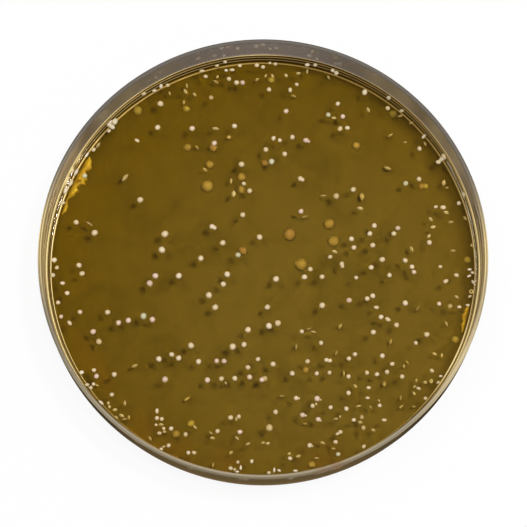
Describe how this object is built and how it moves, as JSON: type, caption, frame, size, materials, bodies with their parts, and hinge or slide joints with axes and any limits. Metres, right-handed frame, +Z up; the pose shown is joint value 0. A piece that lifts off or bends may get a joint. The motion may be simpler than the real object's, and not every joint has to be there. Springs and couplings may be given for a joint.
{
  "type": "seeded agar plate",
  "caption": "Open round Petri dish base of clear plastic with a poured amber agar gel, and small bacterial colonies on, in and under the gel.",
  "frame": {"origin": "centre of the dish, on the plane that its foot ring stands on", "axes": "+Z up out of the dish along its axis, -Y towards the viewer of the picture, +X to the right"},
  "size_m": [0.088, 0.088, 0.014],
  "materials": {
    "clear_polystyrene": "clear, injection moulded, glossy",
    "agar": "clear amber gel, wet and smooth",
    "cream_growth": "moist, soft sheen",
    "rose_growth": "moist, soft sheen",
    "pale_green_growth": "moist, soft sheen",
    "tan_growth": "moist, soft sheen",
    "meniscus_growth": "moist, soft sheen",
    "amber_growth": "seen through the gel",
    "ochre_growth": "seen through the gel",
    "orange_growth": "seen through the gel",
    "olive_growth": "seen through the gel",
    "golden_growth": "seen through the gel"
  },
  "bodies": {
    "root": {"dish_base": "clear_polystyrene", "agar_gel": "agar", "cream_surface_colonies": "cream_growth", "rose_surface_colonies": "rose_growth", "pale_green_surface_colonies": "pale_green_growth", "tan_surface_colonies": "tan_growth", "large_tan_colony": "tan_growth", "meniscus_colonies": "meniscus_growth", "cream_lens_colonies": "cream_growth", "tan_lens_colonies": "tan_growth", "amber_lens_colonies": "amber_growth", "ochre_floor_colonies": "ochre_growth", "orange_floor_colonies": "orange_growth", "olive_floor_colonies": "olive_growth", "west_spreading_growth": "golden_growth", "east_spreading_growth": "golden_growth"}
  },
  "joints": []
}
